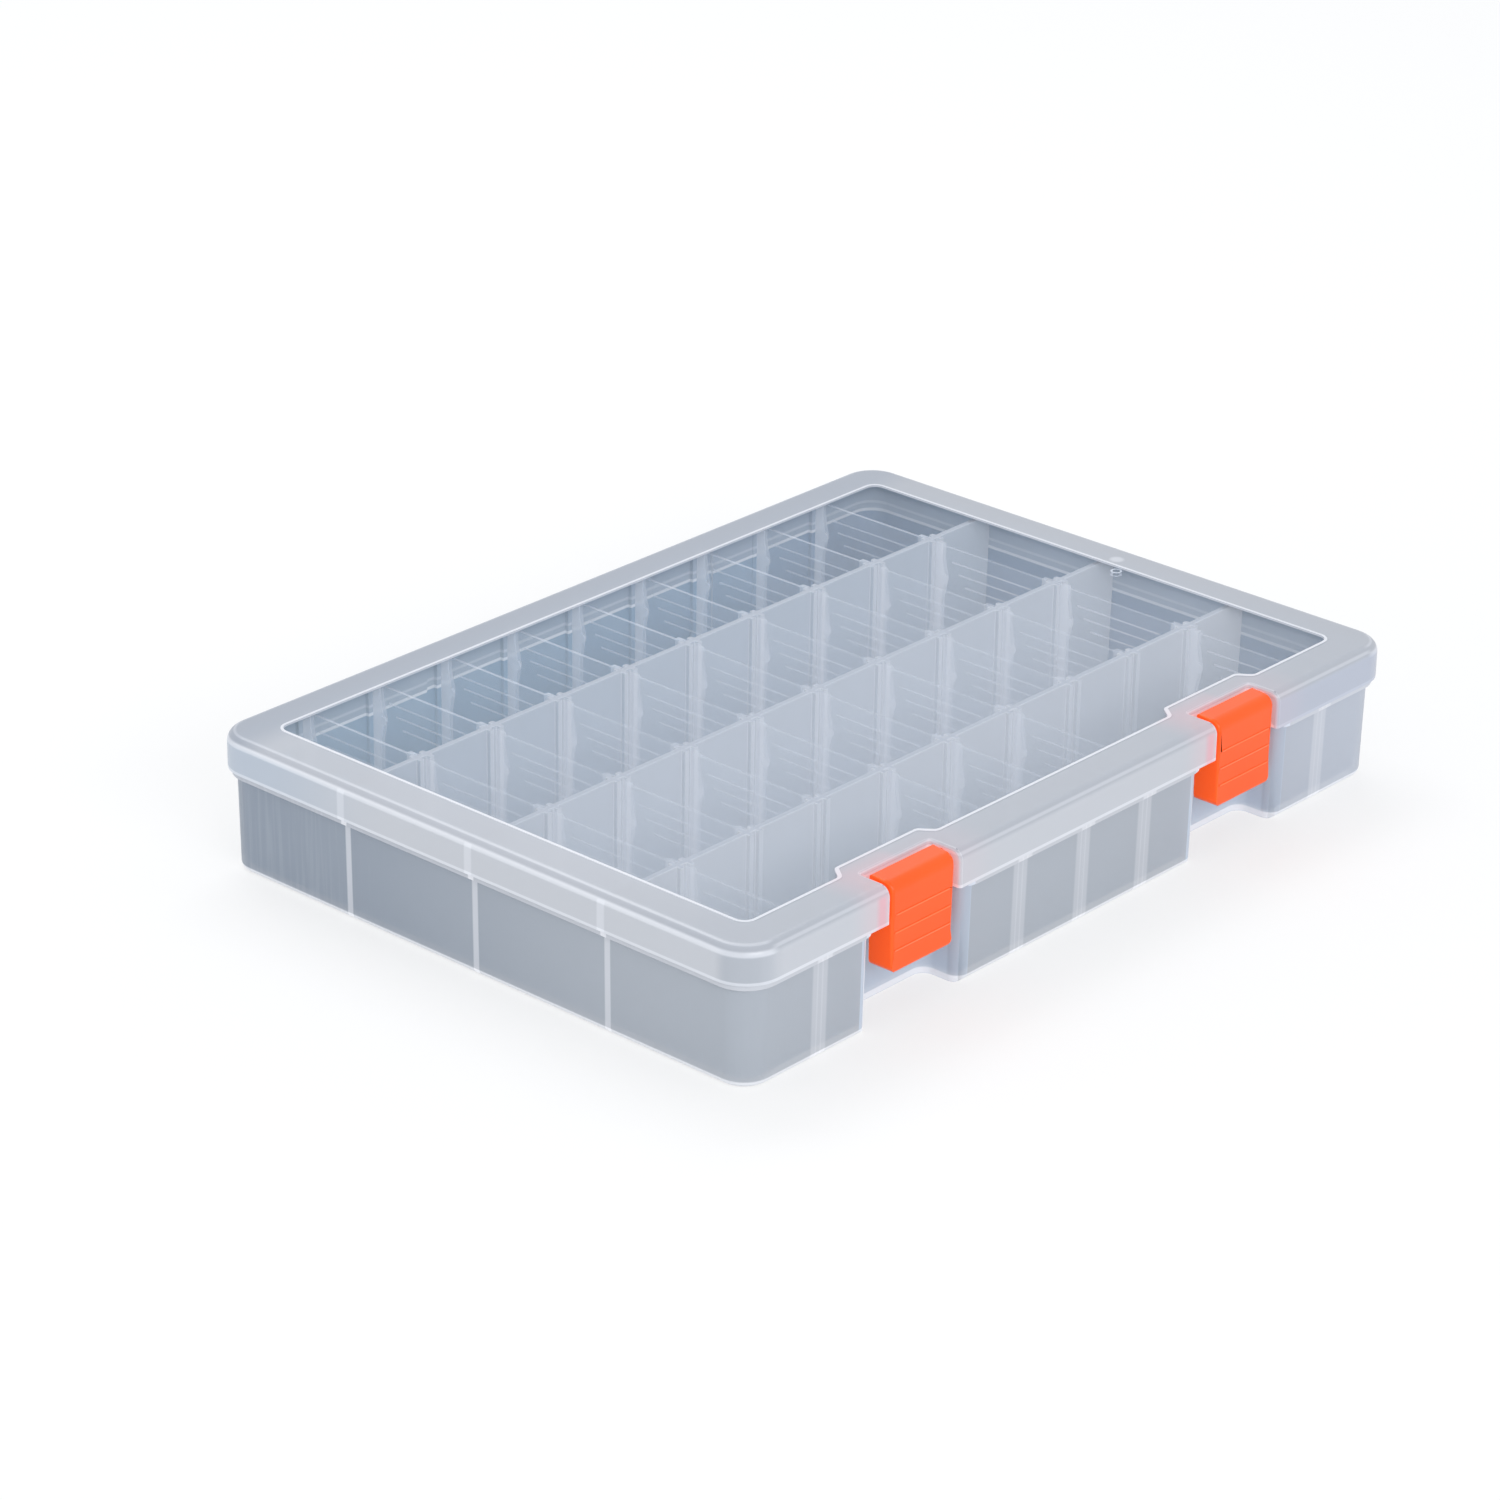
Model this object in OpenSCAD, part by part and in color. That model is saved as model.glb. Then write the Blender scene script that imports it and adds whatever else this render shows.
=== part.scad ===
// Compartment storage box: a see-through tray with three long walls moulded in,
// lift-out dividers standing in wall slots, a skirted lid on two rear clip hinges
// and two snap latches on the front.
// Millimetres. X runs along the latched front, the front faces -Y, Z is up.
// The origin is the middle of the base, with the lid shut and both latches closed.

/* [Box] */
// Overall length along the latched front
box_l = 251.5; // [240:0.5:265]
// Overall depth from the latched front to the hinge side
box_w = 180.3; // [172:0.1:192]
// Overall height with the lid shut
box_h = 38.1; // [36:0.1:46]

/* [Tray] */
// Wall thickness of the tray
tray_wall = 1.6; // [1.3:0.05:1.9]
// Floor thickness of the tray
floor_t = 1.6; // [1.2:0.1:2.4]
// Moulding draft of the tray walls, in degrees
draft = 0.9; // [0.5:0.1:1.2]
// Radius of the tray's outer bottom edge
base_edge_r = 2; // [1:0.25:3]
// Radius of the inner edge between wall and floor
inner_edge_r = 1; // [0.5:0.25:1.5]
// Thickness of the ledge under the lid's skirt
ledge_t = 1.4; // [1:0.1:1.8]
// How far that ledge stands out of the tray wall
ledge_reach = 1.3; // [0.8:0.05:1.4]

/* [Lid] */
// Thickness of the lid's skirt
skirt_t = 1.6; // [1.3:0.05:1.8]
// Depth of the lid, from its rim down to the skirt's lower edge
skirt_depth = 9.85; // [9.5:0.05:11]
// Running gap between the skirt and the top of the tray wall
skirt_gap = 0.58; // [0.45:0.01:0.8]
// Outer corner radius of the lid in plan
lid_corner_r = 10; // [7:0.5:14]
// Radius of the lid's outer top edge
lid_edge_r = 3; // [2:0.25:4]
// Thickness of the clear pane
pane_t = 1; // [0.8:0.1:1.4]
// Width of the flat rim around the pane
rim_w = 12; // [10:0.5:13]
// Depth of the pane below the rim
rim_step = 0.45; // [0.3:0.05:0.8]
// Width of the bead along the rim's inner edge
bead_w = 0.8; // [0.5:0.1:1.2]
// Height of that bead above the rim
bead_h = 0.15; // [0.1:0.05:0.4]
// Corner radius of the pane
pane_corner_r = 3; // [2:0.5:5]
// Gap between the lid's underside and the tray's top edge
lid_gap = 0.3; // [0.2:0.05:0.5]

/* [Rows and dividers] */
// Thickness of each long wall
row_wall_t = 1.7; // [1.4:0.1:2.2]
// Thickness of a divider's plate
divider_t = 1; // [0.8:0.1:1.2]
// Thickness of the bands at a divider's ends
band_t = 1.5; // [1.3:0.05:1.7]
// Width of those bands at their top
band_w = 3.5; // [2.5:0.1:4.5]
// How far a divider's top edge lies below the long walls
divider_drop = 0.9; // [0.6:0.1:2]
// How far the end bands rise above a divider's top edge
band_step = 0.5; // [0.2:0.05:0.55]
// Width of the slot that a divider's end stands in
slot_gap = 1.9; // [1.8:0.05:2.2]
// Thickness of each slot rib
rib_t = 1.5; // [1.1:0.1:1.6]
// How far the slot ribs stand out of a wall
rib_reach = 1.2; // [0.9:0.1:1.4]
// Gap between a divider's end and the wall it faces
end_gap = 0.15; // [0.1:0.01:0.3]
// Length of the longest grip line on a divider
grip_l = 28; // [20:1:30]
// Height of one grip line
grip_w = 0.5; // [0.4:0.1:0.8]
// Spacing of the grip lines
grip_pitch = 3.1; // [2.5:0.1:3.5]
// Depth of the first grip line below the divider's top edge
grip_drop = 3.9; // [3:0.1:5]

/* [Latches] */
// How far each latch sits outboard of the middle between its two slots
latch_shift = 2; // [0:0.25:3]
// Width of a latch at its top
latch_w = 22.8; // [21:0.1:23.6]
// Height of a latch
latch_h = 24.2; // [22:0.2:25]
// Thickness of a latch's face and top
latch_t = 1.6; // [1.3:0.1:1.9]
// Thickness of a latch's side cheeks
cheek_t = 1.4; // [1.1:0.1:1.7]
// Radius of a latch's top front edge
latch_edge_r = 3; // [2:0.25:3.5]
// Radius of a latch's lower corners
latch_corner_r = 2; // [1.2:0.1:3]
// Width of the lid's notch around a latch
notch_w = 25.5; // [25:0.25:26.5]
// Depth of that notch from the skirt's face
notch_depth = 9.9; // [9.7:0.05:10.2]
// Width of the tray's recess behind a latch
recess_w = 33; // [32:0.25:34]
// Depth of that recess from the tray's front face
recess_depth = 11.2; // [11:0.05:12]
// Diameter of a latch's pivot pins
latch_pin_d = 2.2; // [1.8:0.1:2.4]
// Radial running clearance of every pivot
pivot_clear = 0.06; // [0.04:0.01:0.09]

/* [Hinges] */
// Width of the skirt's cut-out at each hinge
hinge_w = 19.5; // [18:0.25:20]
// Width of the lid's clip on the hinge pin
clip_w = 12; // [10:0.25:12.5]
// Thickness of each of the tray's hinge ears
ear_t = 2; // [1.6:0.1:2.2]
// Diameter of the hinge pins
hinge_pin_d = 2; // [1.6:0.1:2.1]

/* [Hidden] */
$fn = 64;
eps = 0.01;
far = 20;

columns = 10;
rows = 4;
sides = [-1, 1];

half_l = box_l / 2;
half_w = box_w / 2;
rim_z = box_h - bead_h;
pane_z = rim_z - rim_step;
lid_under_z = pane_z - pane_t;
skirt_z = rim_z - skirt_depth;
tray_z = lid_under_z - lid_gap;

// Every rounded corner in plan shares these centres, so lid and tray stay concentric.
core_x = half_l - lid_corner_r;
core_y = half_w - lid_corner_r;
lid_r = lid_corner_r;
skirt_in_r = lid_r - skirt_t;
tray_top_r = skirt_in_r - skirt_gap;
tray_base_r = tray_top_r - tray_z * tan(draft);
wall_flat = tray_wall / cos(draft);
tray_front = core_y + tray_top_r;
inner_x = core_x + tray_top_r - wall_flat;
inner_y = core_y + tray_top_r - wall_flat;

// Columns share the length between the end walls, rows the depth.
col_pitch = (2 * inner_x + divider_t) / columns;
row_clear = (2 * inner_y - (rows - 1) * row_wall_t) / rows;
row_pitch = row_clear + row_wall_t;
slots = [for (k = [1 : columns - 1]) k];
walls = [for (k = [1 : rows - 1]) k];
function slot_x(k) = (k - columns / 2) * col_pitch;
function wall_y(k) = (k - rows / 2) * row_pitch;
function row_y(r) = (r - (rows + 1) / 2) * row_pitch;
rib_w = slot_gap + 2 * rib_t;

// Latch: the pivot axis lies high and at the back, close behind the notch.
latch_x = 2.5 * col_pitch + latch_shift;
latch_face_back = 0.65;
latch_face = half_w - latch_face_back;
latch_top_drop = 0.1;
latch_top = rim_z - latch_top_drop;
latch_bottom = latch_top - latch_h;
notch_y = half_w - notch_depth;
notch_corner_r = 1;
notch_edge_r = 0.8;
latch_back_gap = 1.95;
latch_lip_r = 1;
latch_heel_r = 0.5;
latch_back = notch_y + latch_back_gap;
axis_inset = 1.7;
axis_drop = 2.1;
latch_axis_y = latch_back + axis_inset;
latch_axis_z = latch_top - axis_drop;
pin_end_gap = 0.2;
latch_draft = 1.1;
line_drop = 8.65;
line_pitch = 4.72;
line_h = 0.4;
line_out = 0.15;
line_inset = 0.9;
nib_t = 2;
nib_w = 14;
nib_hook = 1.5;
nib_back = latch_back - nib_hook;
nib_rise = 6.4;
nib_z = latch_bottom + nib_rise;

// Recess: a bay in the tray's front that the latch swings in.
recess_y = tray_front - recess_depth;
recess_corner_r = 3.5;
recess_mouth_r = 3.5;
mouth_lap = 0.02;
catch_gap = 0.35;
catch_w = 18;
catch_t = 2.2;
catch_reach = nib_back - catch_gap;

// Hinge: the axis lies just under the skirt, inside the lid's own outline.
hinge_x = latch_x;
clip_ring_t = 0.55;
clip_inset = 0.05;
clip_mouth = 1.3;
clip_r = hinge_pin_d / 2 + pivot_clear + clip_ring_t;
hinge_y = half_w - clip_r - clip_inset;
hinge_drop = 1.5;
hinge_z = skirt_z - hinge_drop;
cutout_h = 3.3;
cutout_top = skirt_z + cutout_h;
ledge_z = skirt_z - lid_gap;
pocket_gap = 0.3;
pocket_y = hinge_y - clip_r - pocket_gap;
ear_gap = 0.35;
ear_root = hinge_y - inner_y;
pad_t = 1;
pad_w = clip_w + 2 * (ear_gap + ear_t);

// Pane: its front edge steps back behind each latch.
jog_y = notch_y - 6;
jog_back_w = notch_w + 4.5;
jog_front_w = notch_w + 10.5;
jog_r = 2;
arc_steps = 6;

// Long walls and dividers stand on the floor; dividers end a little below the walls.
seat_gap = 0.05;
divider_base = floor_t + seat_gap;
divider_top = tray_z - divider_drop;
divider_l = row_clear - 2 * end_gap;
function divider_end(z) = divider_l / 2 - (tray_z - z) * tan(draft);
mark_r = 1.3;
mark_t = 0.3;
mark_drop = 9.5;
mark_inset = band_w + 1;
bulge = 1.2;
bulge_h = 12;
grip_count = 3;
grip_taper = 0.17;

// The front row has no divider where a latch recess takes up its slot.
function slot_free(k) = abs(abs(slot_x(k)) - latch_x) > recess_w / 2 + tray_wall + rib_w / 2;
dividers = concat(
    [for (k = slots) if (slot_free(k)) [1, k]],
    [for (r = [2 : rows], k = slots) [r, k]]);
row_names = ["a", "b", "c", "d"];
function divider_name(d) = str("divider_", row_names[d[0] - 1], d[1]);
wall_names = ["row_wall_front", "row_wall_middle", "row_wall_rear"];

// A rounded block with the lid's plan corners. Its child is half a section:
// x runs outward from the corner centres and y is the height, from z0 to z1.
module round_block(z0, z1) {
    rotate([90, 0, 90]) linear_extrude(2 * core_x, center = true) {
        for (s = sides) scale([s, 1]) translate([core_y, 0]) children();
        translate([-core_y, z0]) square([2 * core_y, z1 - z0]);
    }
    for (s = sides) scale([s, 1, 1]) translate([core_x, 0, 0])
        rotate([90, 0, 0]) linear_extrude(2 * core_y, center = true) children();
    for (sx = sides, sy = sides) scale([sx, sy, 1]) translate([core_x, core_y, 0])
        rotate_extrude(angle = 90) children();
}

// Half section of a drafted wall: r_base is its reach at height 0, edge its lower radius.
module drafted_half(r_base, z0, z1, edge) {
    edge_x = r_base + (z0 + edge) * tan(draft) - edge / cos(draft);
    edge_z = z0 + edge;
    polygon([[0, z0], [edge_x, z0],
        [edge_x + edge * cos(draft), edge_z - edge * sin(draft)],
        [r_base + z1 * tan(draft), z1], [0, z1]]);
    translate([edge_x, edge_z]) circle(edge);
}

// Half section of the lid's outside, with its rounded top edge.
module lid_half() {
    square([lid_r - lid_edge_r, rim_z]);
    square([lid_r, rim_z - lid_edge_r]);
    translate([lid_r - lid_edge_r, rim_z - lid_edge_r]) circle(lid_edge_r);
}

// Plan of a bay open to the front, its back at y = -back and its mouth at y = -mouth.
module bay_plan(half, back, mouth, corner_r, mouth_r) {
    translate([-half, -mouth - far]) square([2 * half, mouth + far - back - corner_r]);
    translate([-half + corner_r, -mouth]) square([2 * (half - corner_r), mouth - back]);
    for (s = sides) scale([s, 1]) {
        translate([half - corner_r, -back - corner_r]) circle(corner_r);
        translate([half - eps, -mouth - far]) square([mouth_r + eps, far]);
        difference() {
            translate([half - eps, -mouth - eps]) square([mouth_r + eps, mouth_r + eps]);
            translate([half + mouth_r, -mouth + mouth_r]) circle(mouth_r);
        }
    }
}

// Latch bays of the tray, which lean back downward with the draft of the front wall
module recess_bays(grow, mouth, z0, z1) {
    for (s = sides) translate([s * latch_x, -mouth, tray_z]) rotate([draft, 0, 0])
        translate([0, mouth, z0 - tray_z]) linear_extrude(z1 - z0)
            bay_plan(recess_w / 2 + grow, recess_y - grow, mouth,
                recess_corner_r + grow, max(recess_mouth_r - grow, 0.3));
}

module notch_bays(grow, z0, z1) {
    for (s = sides) translate([s * latch_x, 0, z0]) linear_extrude(z1 - z0)
        bay_plan(notch_w / 2 + grow, notch_y - grow, half_w,
            notch_corner_r + grow, max(notch_edge_r - grow, 0.3));
}

// What a rounded edge takes off a square one: the solid lies right of and below the corner.
module edge_trim(r) {
    difference() {
        translate([-eps, -r]) square([r + eps, r + eps]);
        translate([r, -r]) circle(r);
    }
}

// Rounds the notches' upper edges: over the lid's front edge, along the cheeks, round the back
module notch_edges() {
    r = notch_edge_r;
    half = notch_w / 2;
    front_y = half_w - lid_edge_r;
    corner_y = notch_y + notch_corner_r;
    for (s = sides) translate([s * latch_x, 0, 0]) {
        translate([0, -notch_y, rim_z]) rotate([90, 0, 90])
            linear_extrude(2 * (half - notch_corner_r), center = true) edge_trim(r);
        for (e = sides) scale([e, 1, 1]) {
            translate([half, -corner_y, rim_z]) rotate([90, 0, 0])
                linear_extrude(front_y - corner_y) edge_trim(r);
            translate([half - notch_corner_r, -corner_y, rim_z])
                rotate_extrude(angle = 90) translate([notch_corner_r, 0]) edge_trim(r);
            translate([0, -front_y, rim_z - lid_edge_r]) rotate([90, 0, -90])
                rotate_extrude(angle = 90) translate([lid_edge_r, -half]) rotate(-90)
                    edge_trim(r);
        }
    }
}

// Two ribs that leave a slot between them, on a wall face at y = 0 that looks to +Y.
module slot_ribs(x, root) {
    for (s = sides) translate([x + s * (slot_gap + rib_t) / 2 - rib_t / 2, -root])
        square([rib_t, root + rib_reach]);
}

// Tray: one moulding with its ledge, latch recesses, slot ribs and hinge pins
module tray() {
    color([0.76, 0.81, 0.88, 0.5]) {
        difference() {
            union() {
                tray_outside();
                tray_ledge();
                hinge_ears();
            }
            tray_cavity();
            hinge_pockets();
        }
        wall_ribs();
        latch_catches();
        hinge_pins();
    }
}

module tray_outside() {
    difference() {
        round_block(0, tray_z) drafted_half(tray_base_r, 0, tray_z, base_edge_r);
        recess_bays(0, tray_front + mouth_lap, -1, tray_z + 1);
    }
}

module tray_ledge() {
    ledge_r = tray_base_r + ledge_z * tan(draft) + ledge_reach;
    difference() {
        round_block(ledge_z - ledge_t, ledge_z)
            translate([0, ledge_z - ledge_t]) square([ledge_r, ledge_t]);
        recess_bays(-ledge_reach, core_y + ledge_r, 0, tray_z);
        for (s = sides) translate([s * hinge_x - hinge_w / 2, tray_front, ledge_z - 2 * ledge_t])
            cube([hinge_w, far, 3 * ledge_t]);
    }
}

module tray_cavity() {
    difference() {
        round_block(floor_t, tray_z + 1)
            drafted_half(tray_base_r - wall_flat, floor_t, tray_z + 1, inner_edge_r);
        recess_bays(tray_wall, tray_front - wall_flat + mouth_lap, -1, tray_z + 2);
        for (s = sides) translate([s * hinge_x - pad_w / 2, inner_y - pad_t, 0])
            cube([pad_w, far, tray_z + 2]);
    }
}

module wall_ribs() {
    rib_z = floor_t - eps;
    rib_h = tray_z - rib_z;
    for (k = slots) {
        translate([0, inner_y, rib_z]) linear_extrude(rib_h)
            scale([1, -1]) slot_ribs(slot_x(k), wall_flat / 4);
        if (slot_free(k)) translate([0, -inner_y, rib_z]) linear_extrude(rib_h)
            slot_ribs(slot_x(k), wall_flat / 4);
    }
}

// Undercut ramp on the back of each recess that the latch's nib closes below
module latch_catches() {
    catch_z = nib_z + nib_t + catch_gap;
    catch_root = tray_wall / 2 - recess_y;
    for (s = sides) translate([s * latch_x - catch_w / 2, 0, 0])
        rotate([90, 0, 90]) linear_extrude(catch_w)
            polygon([[catch_root, catch_z], [-catch_reach, catch_z],
                [-catch_reach, catch_z + catch_t / 2], [catch_root, catch_z + 2 * catch_t]]);
}

module hinge_pockets() {
    pocket_h = 2 * (clip_r + pocket_gap);
    for (s = sides) translate([s * hinge_x - clip_w / 2 - ear_gap, pocket_y, hinge_z - pocket_h / 2])
        cube([clip_w + 2 * ear_gap, far, pocket_h]);
}

module hinge_ears() {
    for (s = sides, e = sides)
        translate([s * hinge_x + e * (clip_w / 2 + ear_gap + ear_t / 2), hinge_y, hinge_z])
            rotate([90, 0, 90]) linear_extrude(ear_t, center = true) {
                circle(clip_r);
                translate([-ear_root, -clip_r]) square([ear_root, 2 * clip_r]);
            }
}

module hinge_pins() {
    pin_l = clip_w + 2 * ear_gap + ear_t;
    for (s = sides) translate([s * hinge_x - pin_l / 2, hinge_y, hinge_z])
        rotate([0, 90, 0]) cylinder(h = pin_l, d = hinge_pin_d);
}

// Long wall: a drafted plate from end wall to end wall, slot ribs on both faces
module row_wall(k) {
    wall_base = floor_t + seat_gap;
    end_base = inner_x - (tray_z - wall_base) * tan(draft) - end_gap;
    color([0.78, 0.83, 0.89, 0.5]) translate([0, wall_y(k), 0]) {
        rotate([90, 0, 0]) linear_extrude(row_wall_t, center = true)
            polygon([[-end_base + inner_edge_r, wall_base], [end_base - inner_edge_r, wall_base],
                [end_base + inner_edge_r * tan(draft), wall_base + inner_edge_r],
                [inner_x - end_gap, tray_z], [-inner_x + end_gap, tray_z],
                [-end_base - inner_edge_r * tan(draft), wall_base + inner_edge_r]]);
        translate([0, 0, wall_base]) linear_extrude(tray_z - wall_base)
            for (n = slots, s = sides) scale([1, s]) translate([0, row_wall_t / 2])
                slot_ribs(slot_x(n), row_wall_t / 4);
    }
}

// Divider outline in the YZ plane, narrowing downward with the tray's draft
module divider_outline(top) {
    low = divider_end(divider_base);
    corner_z = divider_base + inner_edge_r;
    polygon([[-low + inner_edge_r, divider_base], [low - inner_edge_r, divider_base],
        [divider_end(corner_z), corner_z], [divider_end(top), top],
        [-divider_end(top), top], [-divider_end(corner_z), corner_z]]);
}

// Thick bands at both ends: wider halfway down, with a small round moulding mark
module divider_bands() {
    half = divider_l / 2;
    band_top = divider_top + band_step;
    wide_z = divider_top - mark_drop;
    intersection() {
        divider_outline(band_top);
        for (s = sides) scale([s, 1])
            polygon([[half + 1, divider_base - 1], [half - band_w, divider_base - 1],
                [half - band_w, wide_z - bulge_h / 2], [half - band_w - bulge, wide_z],
                [half - band_w, wide_z + bulge_h / 2], [half - band_w, band_top + 1],
                [half + 1, band_top + 1]]);
    }
}

module divider_marks() {
    for (s = sides) translate([s * (divider_l / 2 - mark_inset), divider_top - mark_drop])
        circle(mark_r);
}

// Grip lines, each shorter than the one above it
module grip_lines() {
    for (n = [0 : grip_count - 1]) {
        line = grip_l * (1 - grip_taper * n) - grip_w;
        translate([0, divider_top - grip_drop - n * grip_pitch]) {
            square([line, grip_w], center = true);
            for (s = sides) translate([s * line / 2, 0]) circle(grip_w / 2);
        }
    }
}

module divider(r, k) {
    color([0.80, 0.85, 0.90, 0.45]) translate([slot_x(k), row_y(r), 0]) rotate([90, 0, 90]) {
        linear_extrude(divider_t, center = true) divider_outline(divider_top);
        linear_extrude(band_t, center = true) divider_bands();
        translate([0, 0, -band_t / 2]) linear_extrude(band_t / 2) grip_lines();
        translate([0, 0, -band_t / 2 - mark_t]) linear_extrude(band_t / 2 + mark_t) divider_marks();
    }
}

// Arc points that round corner b of the path a-b-c with radius r
function rounded(a, b, c, r) =
    let (u = (a - b) / norm(a - b), v = (c - b) / norm(c - b), half = acos(u * v) / 2,
        turn = 180 - 2 * half, middle = b + (u + v) / norm(u + v) * r / sin(half),
        start = b + u * r / tan(half) - middle, end = b + v * r / tan(half) - middle)
    [for (n = [0 : arc_steps])
        middle + (start * sin((1 - n / arc_steps) * turn) + end * sin(n / arc_steps * turn)) / sin(turn)];

// Plan of the pane: a rounded rectangle that steps back behind each latch
module pane_plan(grow) {
    x = half_l - rim_w + grow;
    y = half_w - rim_w + grow;
    front = jog_front_w / 2 - grow;
    back = jog_back_w / 2 - grow;
    corner = pane_corner_r + grow;
    jogs = [for (s = sides) each [
        [s * latch_x - front, -y, jog_r + grow], [s * latch_x - back, -jog_y - grow, jog_r - grow],
        [s * latch_x + back, -jog_y - grow, jog_r - grow], [s * latch_x + front, -y, jog_r + grow]]];
    path = concat([[x, y, corner], [-x, y, corner], [-x, -y, corner]], jogs, [[x, -y, corner]]);
    count = len(path);
    function spot(n) = [path[n % count].x, path[n % count].y];
    polygon([for (n = [1 : count])
        each rounded(spot(n - 1), spot(n), spot(n + 1), path[n % count].z)]);
}

// Lid: skirt, flat rim, sunk clear pane, latch notches and rear hinge clips
module lid() {
    color([0.80, 0.85, 0.92, 0.4]) {
        difference() {
            round_block(skirt_z, rim_z) intersection() {
                lid_half();
                translate([0, skirt_z]) square([lid_r, skirt_depth]);
            }
            difference() {
                round_block(skirt_z - 1, lid_under_z)
                    translate([0, skirt_z - 1]) square([skirt_in_r, lid_under_z - skirt_z + 1]);
                notch_bays(skirt_t, skirt_z - 2, lid_under_z + 1);
            }
            notch_bays(0, skirt_z - 1, rim_z + 1);
            notch_edges();
            translate([0, 0, pane_z]) linear_extrude(box_h) pane_plan(0);
            hinge_cutouts();
            latch_bores();
        }
        translate([0, 0, pane_z - eps]) linear_extrude(box_h - pane_z + eps) difference() {
            pane_plan(bead_w);
            pane_plan(0);
        }
        hinge_clips();
    }
}

module hinge_cutouts() {
    for (s = sides) translate([s * hinge_x - hinge_w / 2, core_y + skirt_in_r - eps, skirt_z - 1])
        cube([hinge_w, far, cutout_top - skirt_z + 1]);
}

module latch_bores() {
    bore_l = notch_w + 2 * skirt_t + 2;
    for (s = sides) translate([s * latch_x - bore_l / 2, -latch_axis_y, latch_axis_z])
        rotate([0, 90, 0]) cylinder(h = bore_l, d = latch_pin_d + 2 * pivot_clear);
}

// Clip: an arm in line with the skirt and an open ring that snaps over the pin
module hinge_clips() {
    arm_t = skirt_t - clip_inset;
    for (s = sides) translate([s * hinge_x, 0, 0]) rotate([90, 0, 90])
        linear_extrude(clip_w, center = true) difference() {
            union() {
                translate([half_w - arm_t, hinge_z]) square([arm_t, cutout_top - hinge_z + eps]);
                translate([hinge_y, hinge_z]) circle(clip_r);
            }
            translate([hinge_y, hinge_z]) circle(hinge_pin_d / 2 + pivot_clear);
            translate([hinge_y, hinge_z]) rotate(-135)
                translate([0, -clip_mouth / 2]) square([2 * clip_r, clip_mouth]);
        }
}

// Side profile of a latch: x runs to the front, y is the height
module latch_profile(inset, lip_r, heel_r) {
    r = latch_edge_r - inset;
    front = latch_face - inset;
    top = latch_top - inset;
    translate([latch_back, latch_bottom])
        square([front - r - latch_back, top - heel_r - latch_bottom]);
    translate([latch_back + heel_r, latch_bottom])
        square([front - r - latch_back - heel_r, top - latch_bottom]);
    translate([latch_back, latch_bottom]) square([front - lip_r - latch_back, latch_h / 2]);
    translate([latch_back, latch_bottom + lip_r])
        square([front - latch_back, top - r - latch_bottom - lip_r]);
    translate([front - r, top - r]) circle(r);
    if (lip_r > 0) translate([front - lip_r, latch_bottom + lip_r]) circle(lip_r);
    if (heel_r > 0) translate([latch_back + heel_r, top - heel_r]) circle(heel_r);
}

// Front view of a latch: narrower at the bottom, with round lower corners
module latch_front() {
    half = latch_w / 2;
    low = half - latch_h * tan(latch_draft);
    r = latch_corner_r;
    polygon([[-low + r, latch_bottom], [low - r, latch_bottom], [low, latch_bottom + r],
        [half, latch_top], [-half, latch_top], [-low, latch_bottom + r]]);
    for (s = sides) translate([s * (low - r), latch_bottom + r]) circle(r);
}

// Latch: a pressed-finger cap with side cheeks, a nib bar and two pivot pins
module latch(side) {
    inside_w = latch_w - 2 * latch_h * tan(latch_draft) - 2 * cheek_t;
    color([1.0, 0.42, 0.22]) translate([side * latch_x, 0, 0]) {
        difference() {
            intersection() {
                rotate([90, 0, -90]) linear_extrude(latch_w, center = true)
                    latch_profile(0, latch_lip_r, latch_heel_r);
                rotate([90, 0, 0]) linear_extrude(half_w) latch_front();
            }
            rotate([90, 0, -90]) linear_extrude(inside_w, center = true)
                translate([-eps, -eps]) latch_profile(latch_t, 0, 0);
            translate([-inside_w / 2, -latch_back - eps, latch_bottom - 1])
                cube([inside_w, far, latch_h - latch_t + 1]);
        }
        for (n = [0 : 2]) latch_line(latch_top - line_drop - n * line_pitch);
        latch_nib(inside_w);
        latch_pins();
    }
}

module latch_line(z) {
    half = latch_w / 2 - (latch_top - z) * tan(latch_draft) - line_inset;
    translate([-half, -latch_face - line_out, z - line_h / 2]) cube([2 * half, latch_t / 2, line_h]);
}

module latch_nib(inside_w) {
    root = latch_face - latch_t / 2;
    for (s = [-1, 0, 1]) translate([s * (nib_w - cheek_t) / 2 - cheek_t / 2, -root, nib_z])
        cube([cheek_t, root - latch_back, nib_t]);
    translate([-nib_w / 2, -latch_back, nib_z]) cube([nib_w, latch_back - nib_back, nib_t]);
}

module latch_pins() {
    pin_end = notch_w / 2 + skirt_t - pin_end_gap;
    pin_root = latch_w / 2 - cheek_t;
    for (s = sides) scale([s, 1, 1]) translate([pin_root, -latch_axis_y, latch_axis_z])
        rotate([0, 90, 0]) cylinder(h = pin_end - pin_root, d = latch_pin_d);
}

tray();
for (k = walls) row_wall(k);
for (d = dividers) divider(d[0], d[1]);
lid();
latch(-1);  // latch_left
latch(1);  // latch_right
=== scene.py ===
import math

import bmesh
import bpy
from mathutils import Matrix, Vector
from mathutils.bvhtree import BVHTree


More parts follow.
